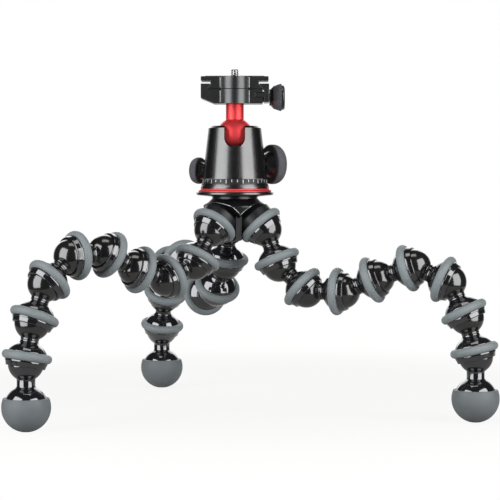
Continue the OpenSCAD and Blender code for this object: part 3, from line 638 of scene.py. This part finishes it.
HEAD_STEPS = 128
BORE_R = 4.82
DISC_R = 30.3
DISC_TOP = 3.95
ACCENT_R = 28.7
ACCENT_LOW = 4
ACCENT_TOP = 6.35
SKIRT_R = 26.9
SKIRT_LOW = 6.4
BAND_LOW = 10.05
BAND_LOW_R = 25.7
BAND_TOP = 13.7
BAND_TOP_R = 25.4
SPIGOT_R = 9
SPIGOT_TOP = 17.1
SCREW_BORE_R = 3.1
SLEEVE_R = 25.0
SLEEVE_LOW = 10.25
MARK_TOP = 13.6
HEAD_BALL_R = 14.5
BALL_TOP = 60.4
STEM_R = 7.0
STEM_LOW = 60.5
STEM_TOP = 72.65
SPIKE_R = 4
SPIKE_LOW = 51.6


def on_head(piece):
    """Stands a piece upright on the head's axis, its zero at the underside of the base disc."""
    return stand_on(piece, (AXIS.x, AXIS.y, STAND), (0, 0, 1), (1, 0, 0))


def turned(name, corners, material, slot, solid, steps=96, at=None, heading=None,
           ripple=None, closed=False):
    """A turned piece for a solid, on the head's axis or on a knob's axis at a height above the disc."""
    piece = lathe(name, rounded(corners), steps, closed=closed, ripple=ripple)
    if heading is None:
        on_head(piece)
    else:
        h = math.radians(heading)
        out = (math.cos(h), math.sin(h), 0)
        stand_on(piece, (AXIS.x, AXIS.y, STAND + at), out, (0, 0, 1))
    return wear(piece, material, slot, BODY_OF[solid], solid)


disc_corners = [
    (BORE_R, 0, 0),
    (17.9, 0, 0.4),
    (DISC_R, 1.3, 0.9),
    (DISC_R, 3.6, 0.7),
    (29.2, DISC_TOP, 0.2),
    (BORE_R, DISC_TOP, 0),
]
turned("disc_plate", disc_corners, satin_black, "black_anodised", "base_disc", HEAD_STEPS, closed=True)
accent_corners = [
    (BORE_R, ACCENT_LOW, 0),
    (ACCENT_R, ACCENT_LOW, 0.2),
    (ACCENT_R, 4.8, 0.3),
    (SKIRT_R, 5.68, 0.3),
    (SKIRT_R, ACCENT_TOP, 0),
    (BORE_R, ACCENT_TOP, 0),
]
turned("accent_band", accent_corners, red_anodised, "red_anodised", "accent_ring", HEAD_STEPS, closed=True)
skirt_corners = [
    (BORE_R, SKIRT_LOW, 0),
    (SKIRT_R, SKIRT_LOW, 0.2),
    (SKIRT_R, 7.6, 0.6),
    (26.0, 10.0, 0.4),
    (BAND_LOW_R, BAND_LOW, 0.1),
    (BAND_TOP_R, BAND_TOP, 0.15),
    (SPIGOT_R, BAND_TOP, 0),
    (SPIGOT_R, SPIGOT_TOP, 0),
    (SCREW_BORE_R, SPIGOT_TOP, 0),
    (SCREW_BORE_R, 11, 0),
    (BORE_R, 10.0, 0),
]
turned("pan_skirt", skirt_corners, satin_black, "black_anodised", "pan_base", HEAD_STEPS, closed=True)
sleeve_corners = [
    (SLEEVE_R, SLEEVE_LOW, 0),
    (25.73, SLEEVE_LOW, 0.05),
    (25.46, MARK_TOP, 0.05),
    (SLEEVE_R, MARK_TOP, 0),
]
turned("band_sleeve", sleeve_corners, dull_black, "black_anodised", "pan_base", HEAD_STEPS, closed=True)

ball_end = math.degrees(math.asin((BALL_TOP - BALL_Z) / HEAD_BALL_R))
ball_arc = arc(0, BALL_Z, HEAD_BALL_R, -90, ball_end, 44)
ball_arc[0] = (0, BALL_Z - HEAD_BALL_R)
red_ball = on_head(lathe("red_ball", ball_arc + [(0, BALL_TOP)], 96))
wear(red_ball, red_anodised, "red_anodised", BODY_OF["tilt_ball"], "tilt_ball")
stem_corners = [
    (0, SPIKE_LOW, 0),
    (SPIKE_R, SPIKE_LOW, 0),
    (SPIKE_R, STEM_LOW, 0),
    (STEM_R, STEM_LOW, 0.2),
    (STEM_R, STEM_TOP, 0.3),
    (0, STEM_TOP, 0),
]
turned("red_stem", stem_corners, red_anodised, "red_anodised", "head_stem", 80)


# Knobs, with their distance from the head's axis as height

RIDGE_STEPS = 6
GRIP_RUBBER = 2.1
CLAMP_KNOB_Z = 77.9
CLAMP_RIDGES = 60
CLAMP_NECK_R = 6.6
CLAMP_CORE_R = 8.17
CLAMP_CONE_R = 8.87
CLAMP_GRIP_START = 30.2
CLAMP_GRIP_END = 36.6


def ridged(count, depth, low, high, inner):
    """Fine ridges along the outside of a knob's rubber."""
    def change(r, z, a):
        if r < inner or not low <= z <= high:
            return r
        return r - depth * (0.5 + 0.5 * math.cos(count * a)) ** 0.7
    return change


def lock_pair(name, r, cone_r, start, cone_h, grip_w, at, heading, ridges, solid):
    """A lock knob's black body and its ridged rubber."""
    z = start + cone_h
    end = z + grip_w
    face = r * 0.68
    rim = r * 0.7
    inner = r - GRIP_RUBBER
    shoulder = r - GRIP_RUBBER / 3
    low = z + grip_w * 0.25
    high = z + grip_w * 0.7
    core = [
        (0, start, 0),
        (cone_r, start, 0.5),
        (face, z, 0.2),
        (inner, low, 0),
        (inner, high, 0),
        (rim, end - GLUE_GAP, 0),
        (0, end - GLUE_GAP, 0),
    ]
    turned(f"{name}_core", core, knob_black, "black_plastic", solid, 96, at, heading)
    inner += GLUE_GAP
    rubber = [
        (face + GLUE_GAP, z - GLUE_GAP, 0),
        (shoulder, z - GLUE_GAP, 0.9),
        (r, z + grip_w * 0.12, 0.9),
        (r, z + grip_w * 0.55, 1.2),
        (shoulder, z + grip_w * 0.8, 1.2),
        (r * 0.86, end, 0.8),
        (rim + GLUE_GAP, end, 0),
        (inner, high, 0),
        (inner, low - GLUE_GAP, 0),
    ]
    ripple = ridged(ridges, 0.22, z + 0.5, z + grip_w * 0.9, inner + 0.6)
    turned(f"{name}_rubber", rubber, knob_rubber, "knob_rubber", f"{solid}_grip", ridges * RIDGE_STEPS,
           at, heading, ripple, closed=True)


lock_pair("lock", r=15.75, cone_r=7.2, start=25.4, cone_h=5.72, grip_w=8.8, at=25.4, heading=30,
          ridges=84, solid="lock_knob")
lock_pair("pan", r=10.5, cone_r=4.5, start=25.64, cone_h=4.4, grip_w=6.6, at=20.4, heading=152,
          ridges=60, solid="pan_knob")
clamp_core = [
    (0, 27.1, 0),
    (CLAMP_NECK_R, 27.1, 0.3),
    (CLAMP_NECK_R, 28.13, 0.3),
    (CLAMP_CONE_R, CLAMP_GRIP_START - GLUE_GAP, 0.2),
    (CLAMP_CORE_R, CLAMP_GRIP_START - GLUE_GAP, 0),
    (CLAMP_CORE_R, CLAMP_GRIP_END, 0),
    (0, CLAMP_GRIP_END, 0),
]
turned("clamp_core", clamp_core, knob_black, "black_plastic", "clamp_knob", 96, CLAMP_KNOB_Z, 0)
clamp_rubber = [
    (CLAMP_CORE_R + GLUE_GAP, CLAMP_GRIP_START, 0),
    (CLAMP_CONE_R, CLAMP_GRIP_START, 0.2),
    (10.75, 35.83, 0.4),
    (10.55, CLAMP_GRIP_END, 0.2),
    (CLAMP_CORE_R + GLUE_GAP, CLAMP_GRIP_END, 0),
]
clamp_ridges = ridged(CLAMP_RIDGES, 0.25, 30.6, 36.2, 8.5)
turned("clamp_rubber", clamp_rubber, knob_rubber, "knob_rubber", "clamp_knob_grip",
       CLAMP_RIDGES * RIDGE_STEPS, CLAMP_KNOB_Z, 0, clamp_ridges, closed=True)
clamp_cap = [
    (0, CLAMP_GRIP_END + GLUE_GAP, 0),
    (9.89, CLAMP_GRIP_END + GLUE_GAP, 0.2),
    (9.68, 38.47, 0.4),
    (8.6, 39.2, 0.5),
    (0, 39.2, 0),
]
turned("clamp_cap", clamp_cap, knob_black, "black_plastic", "clamp_knob_cap", 96, CLAMP_KNOB_Z, 0)


# Camera screw with its thread

SCREW_HEAD_R = 7
SCREW_HEAD_LOW = 84.55
SCREW_HEAD_TOP = 87.95
SHANK_R = 2.5
SHANK_TOP = 94.6
THREAD = {"r": 3.175, "depth": 0.62, "pitch": 1.27, "low": 94.55, "high": 99.85}


def thread_data(r, depth, pitch, low, high, around=48, along=10):
    """Points and faces of a threaded rod with a rounded V thread, closed at both ends."""
    rows = int((high - low) / pitch * along)
    verts, faces = [], []
    for i in range(rows + 1):
        z = low + (high - low) * i / rows
        fade = min(1.0, (z - low) / (pitch * 0.4), (high - z) / (pitch * 0.5))
        for s in range(around):
            a = 2 * math.pi * s / around
            phase = (z / pitch - s / around) % 1.0
            crest = min(1.0, max(0.0, 1.35 - 3.6 * abs(phase - 0.5)))
            rr = r - depth * (1 - crest * fade)
            verts.append((rr * math.cos(a), rr * math.sin(a), z))
    for i in range(rows):
        for s in range(around):
            n = (s + 1) % around
            faces.append([i * around + s, i * around + n, (i + 1) * around + n, (i + 1) * around + s])
    faces.append(list(range(around))[::-1])
    faces.append([rows * around + s for s in range(around)])
    return verts, faces


screw_corners = [
    (0, SCREW_HEAD_LOW, 0),
    (SCREW_HEAD_R, SCREW_HEAD_LOW, 0.3),
    (SCREW_HEAD_R, SCREW_HEAD_TOP, 0.3),
    (SHANK_R, SCREW_HEAD_TOP, 0),
    (SHANK_R, SHANK_TOP, 0),
    (0, SHANK_TOP, 0),
]
screw_parts = joined(lathe_data(rounded(screw_corners), 72), thread_data(**THREAD))
camera_thread = on_head(mesh_object("camera_thread", *screw_parts))
wear(camera_thread, steel, "steel", "camera_screw", "camera_screw")


# Bright metal beads beside the round fronts of the plate and of the clamp, painted highlights in the corners

CORNER_X = 11.2
CORNER_Y = 17.95
CORNER_BEAD_R = 0.4


def corner_beads(name, low, high, body):
    """Slim upright metal beads, painted highlights, in the corners between a flat side and its round boss, front
    and back.
    """
    outline = [(0, low, 0), (CORNER_BEAD_R, low, 0.25), (CORNER_BEAD_R, high, 0.25), (0, high, 0)]
    verts, faces = lathe_data(rounded(outline), 16)
    beads = []
    for x in (-CORNER_X, CORNER_X):
        for y in (-CORNER_Y, CORNER_Y):
            beads.append(([(vx + x, vy + y, vz) for vx, vy, vz in verts], faces))
    piece = on_head(mesh_object(name, *joined(*beads)))
    return wear(piece, highlight_bead_metal, "black_anodised", body)


corner_beads("plate_corner_highlights", 84.9, 93.2, "plate")
corner_beads("clamp_corner_highlights", 73.4, 83.0, "stem_and_clamp")


# Graduations on the band under the housing

MARKS = 36
FIRST_MARK = -85
MARK_HALF = math.radians(0.55)
MARK_LIFT = 0.1
MARK_LOW = 11.6
LONG_MARK_LOW = 10.6


def graduation_data():
    """Thin raised marks round the band, every third one longer."""
    verts, faces = [], []
    taper = (BAND_LOW_R - BAND_TOP_R) / (BAND_TOP - BAND_LOW)
    for i in range(MARKS):
        middle = math.radians(FIRST_MARK + 360 / MARKS * i)
        bottom = LONG_MARK_LOW if i % 3 == 1 else MARK_LOW
        base = len(verts)
        for z, lift in ((bottom, 0.0), (bottom, MARK_LIFT), (MARK_TOP, MARK_LIFT), (MARK_TOP, 0.0)):
            r = BAND_LOW_R - taper * (z - BAND_LOW) + lift
            for a in (middle - MARK_HALF, middle + MARK_HALF):
                verts.append((r * math.cos(a), r * math.sin(a), z))
        for a, b in ((0, 2), (2, 4), (4, 6)):
            faces.append([base + a, base + a + 1, base + b + 1, base + b])
        faces.append([base, base + 2, base + 4, base + 6])
        faces.append([base + 1, base + 7, base + 5, base + 3])
        faces.append([base + 6, base + 7, base + 1, base])
    return verts, faces


graduations = on_head(mesh_object("graduations", *graduation_data()))
wear(graduations, marking, "nylon", "hub_and_base")


# Lamps

AIM = Vector((AXIS.x / 1000, AXIS.y / 1000, 0.13))


def area_light(name, azimuth, elevation, distance, size, power, colour):
    """A soft lamp seen from the object at azimuth (0 toward the viewer, 90 to the right) and elevation."""
    a, e = math.radians(azimuth), math.radians(elevation)
    toward = Vector((math.sin(a) * math.cos(e), -math.cos(a) * math.cos(e), math.sin(e)))
    lamp = bpy.data.lights.new(name, "AREA")
    lamp.shape = "RECTANGLE"
    lamp.size, lamp.size_y = size
    lamp.energy = power
    lamp.color = colour
    obj = linked(name, lamp)
    obj.location = AIM + toward * distance
    obj.rotation_euler = (-toward).to_track_quat("-Z", "Y").to_euler()


area_light("softbox_left", -52, 13, 1.5, (1.3, 1.8), 36, (0.96, 0.975, 1.0))
area_light("softbox_right", 52, 13, 1.5, (1.3, 1.8), 36, (0.97, 0.975, 0.99))
area_light("softbox_top", 0, 80, 1.4, (0.8, 0.5), 3, (1.0, 0.98, 0.93))
area_light("softbox_back", 180, 28, 1.7, (1.8, 1.2), 13.5, (0.98, 0.985, 1.0))


# Backdrop and floor

def combined(tree, operation, first, second):
    """Two values made into one."""
    made = node(tree, "ShaderNodeMath", operation=operation)
    tree.links.new(first, made.inputs[0])
    tree.links.new(second, made.inputs[1])
    return made.outputs[0]


def mixed(tree, share, first, second):
    """Two shaders mixed by a value that is the share of the second."""
    made = node(tree, "ShaderNodeMixShader")
    tree.links.new(share, made.inputs["Fac"])
    tree.links.new(first, made.inputs[1])
    tree.links.new(second, made.inputs[2])
    return made.outputs["Shader"]


def glossy_rays(tree):
    """1 for the rays that reflections are made of, 0 for others."""
    return node(tree, "ShaderNodeLightPath").outputs["Is Glossy Ray"]


def direct_rays(tree):
    """1 for rays from the camera, also when they pass through something clear, 0 for others."""
    path = node(tree, "ShaderNodeLightPath").outputs
    return combined(tree, "MAXIMUM", path["Is Camera Ray"], path["Is Transmission Ray"])


world = bpy.data.worlds.new("studio")
bpy.context.scene.world = world
world.use_nodes = True
sky = world.node_tree
dim = sky.nodes["Background"]
dim.inputs["Color"].default_value = (0.037, 0.037, 0.040, 1)
bright = node(sky, "ShaderNodeBackground", Color=(1, 1, 1, 1))
# Shiny pieces show the white backdrop where it hangs, behind the object
toward = node(sky, "ShaderNodeTexCoord")
parts = node(sky, "ShaderNodeSeparateXYZ")
sky.links.new(toward.outputs["Generated"], parts.inputs["Vector"])
behind = remapped(sky, parts.outputs["Y"], (0.72, 0.9), (0, 1), "SMOOTHSTEP")
shiny = combined(sky, "MULTIPLY", behind, glossy_rays(sky))
white = combined(sky, "MAXIMUM", shiny, direct_rays(sky))
backdrop = mixed(sky, white, dim.outputs["Background"], bright.outputs["Background"])
sky.links.new(backdrop, sky.nodes["World Output"].inputs["Surface"])

# A round white table, shaded only near the object and as bright as the backdrop at its edge
TABLE_R = 0.46
TABLE_Y = 0.12
TABLE_GAP = 0.0002
floor = mesh_object("floor", *lathe_data([(0, 0), (TABLE_R * 1000, 0)], 128))
floor.location = (0, TABLE_Y, -TABLE_GAP)
paper = bpy.data.materials.new("floor_paper")
paper.use_nodes = True
tree = paper.node_tree
tree.nodes.remove(tree.nodes["Principled BSDF"])
matt = node(tree, "ShaderNodeBsdfDiffuse", Color=(0.55, 0.54, 0.53, 1)).outputs["BSDF"]
lit = node(tree, "ShaderNodeEmission", Color=(1.0, 0.998, 0.994, 1)).outputs["Emission"]
where = coordinates(tree)
away = node(tree, "ShaderNodeVectorMath", operation="LENGTH")
tree.links.new(where, away.inputs[0])
lit_share = remapped(tree, away.outputs["Value"], (0.2, TABLE_R * 0.97), (0.88, 1.0), "SMOOTHSTEP")
seen = mixed(tree, lit_share, matt, lit)
# The far side of the table, which shiny pieces show along their lower edges, is a painted reflection: an emission
# that only reflections see, stronger toward the back
across = node(tree, "ShaderNodeSeparateXYZ")
tree.links.new(where, across.inputs["Vector"])
sheen = remapped(tree, across.outputs["Y"], (-0.12, 0.15), (0.3, 1.0), "SMOOTHSTEP")
glow = node(tree, "ShaderNodeEmission", Color=(1.0, 0.985, 0.96, 1))
tree.links.new(sheen, glow.inputs["Strength"])
glow_share = node(tree, "ShaderNodeValue")
glow_share.outputs[0].default_value = 0.8
mirrored = mixed(tree, glow_share.outputs[0], matt, glow.outputs["Emission"])
reflected = mixed(tree, glossy_rays(tree), matt, mirrored)
surface = mixed(tree, direct_rays(tree), reflected, seen)
tree.links.new(surface, tree.nodes["Material Output"].inputs["Surface"])
floor.data.materials.append(paper)


# Camera, in front of the head's axis and a little to its right, tipped down

CAMERA_RIGHT = 0.0119
CAMERA_AHEAD = 1.575
CAMERA_HEIGHT = 0.1945
CAMERA_DIP = 2.43
lens = bpy.data.cameras.new("camera")
lens.sensor_width = 36.0
lens.lens = 144.0
lens.clip_end = 20.0
camera = linked("camera", lens)
camera.location = (AXIS.x / 1000 + CAMERA_RIGHT, AXIS.y / 1000 - CAMERA_AHEAD, CAMERA_HEIGHT)
camera.rotation_euler = (math.radians(90 - CAMERA_DIP), 0, 0)
bpy.context.scene.camera = camera
bpy.context.scene.view_settings.view_transform = "Standard"
